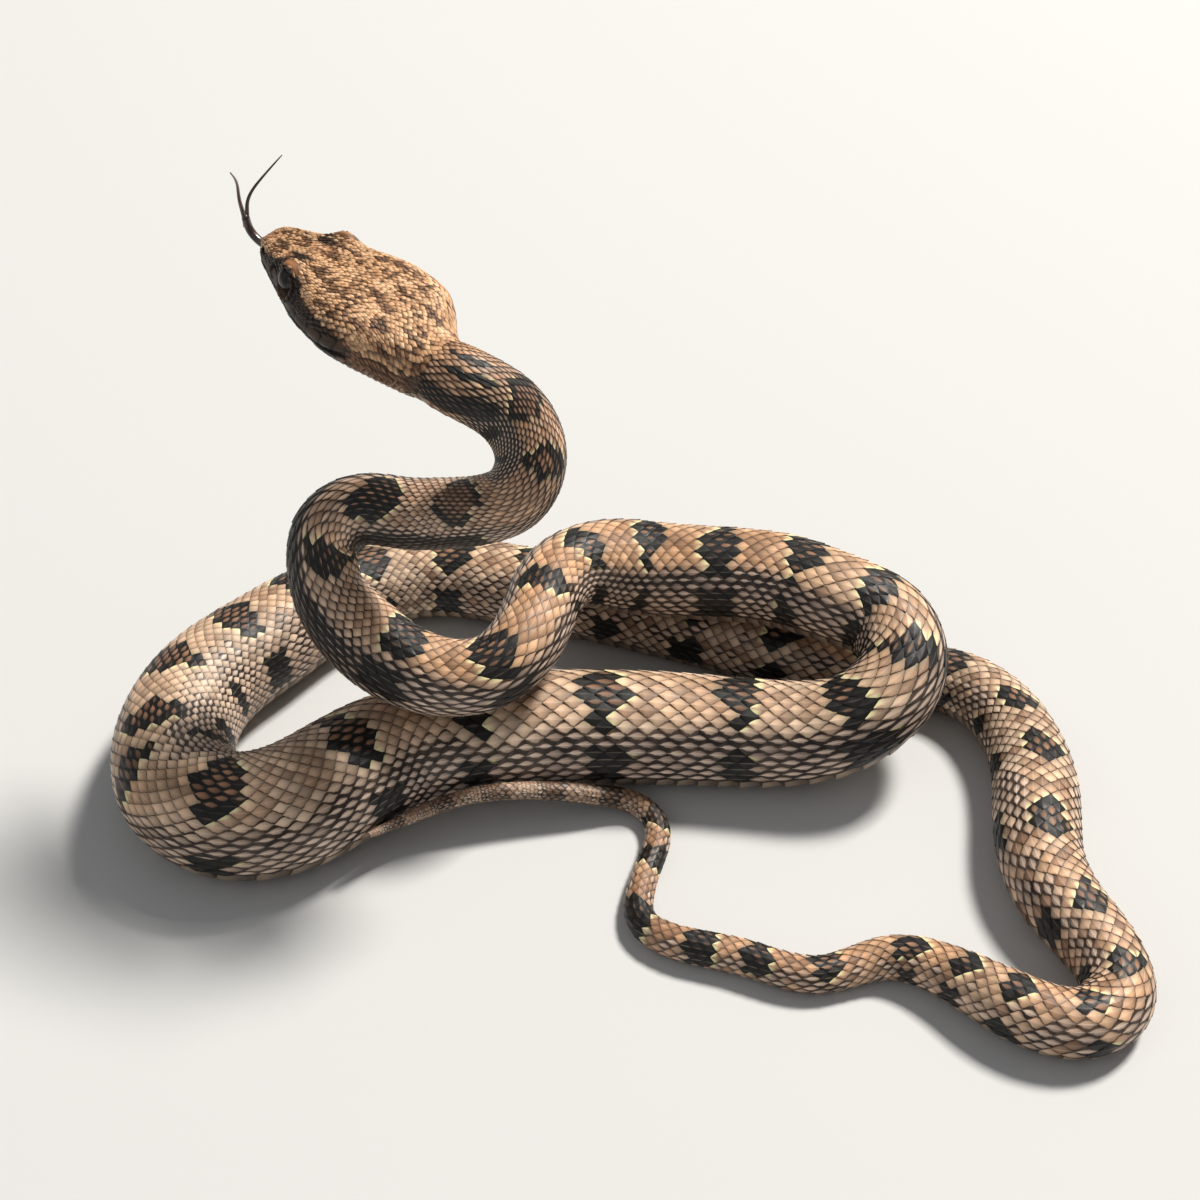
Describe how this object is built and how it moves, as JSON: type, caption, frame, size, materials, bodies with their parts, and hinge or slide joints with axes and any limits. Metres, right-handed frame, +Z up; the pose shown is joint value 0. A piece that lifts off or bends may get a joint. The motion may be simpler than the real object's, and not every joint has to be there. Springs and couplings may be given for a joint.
{
  "type": "coiled pit viper",
  "caption": "Young lancehead-type pit viper lying in a loose coil, neck and head raised and forked tongue out, as a still life-size model.",
  "frame": {"origin": "bottom centre of the bounding box, on the floor that the snake lies on", "axes": "+Z up, +X along the coil's long side towards the outer bend of the hind body, +Y towards the back of the coil; the head points to -X and +Y"},
  "size_m": [0.1292, 0.0881, 0.0784],
  "materials": {
    "tail_skin": "dry keeled scales, orange tan with dark bands and a pale tip",
    "trunk_skin": "dry keeled scales, pinkish tan with dark, pale-edged blotches",
    "neck_skin": "dry keeled scales, tan with dark blotches and stripes",
    "head_skin": "small dry keeled scales, orange tan mottled with dark brown",
    "jaw_skin": "smooth lip and chin shields, grey brown",
    "eye": "wet clear eye cap over a brown iris with an upright pupil",
    "tongue": "moist, dark brown"
  },
  "bodies": {
    "root": {"tail_tip": "tail_skin", "tail_middle": "tail_skin", "tail_base": "tail_skin", "trunk_01": "trunk_skin", "trunk_02": "trunk_skin", "trunk_03": "trunk_skin", "trunk_04": "trunk_skin", "trunk_05": "trunk_skin", "trunk_06": "trunk_skin", "trunk_07": "trunk_skin", "trunk_08": "trunk_skin", "trunk_09": "trunk_skin", "trunk_10": "trunk_skin", "trunk_11": "trunk_skin", "trunk_12": "trunk_skin", "neck_base": "neck_skin", "neck_middle": "neck_skin", "neck_front": "neck_skin", "head": "head_skin", "lower_jaw": "jaw_skin", "eye_left": "eye", "eye_right": "eye", "tongue": "tongue"}
  },
  "joints": []
}
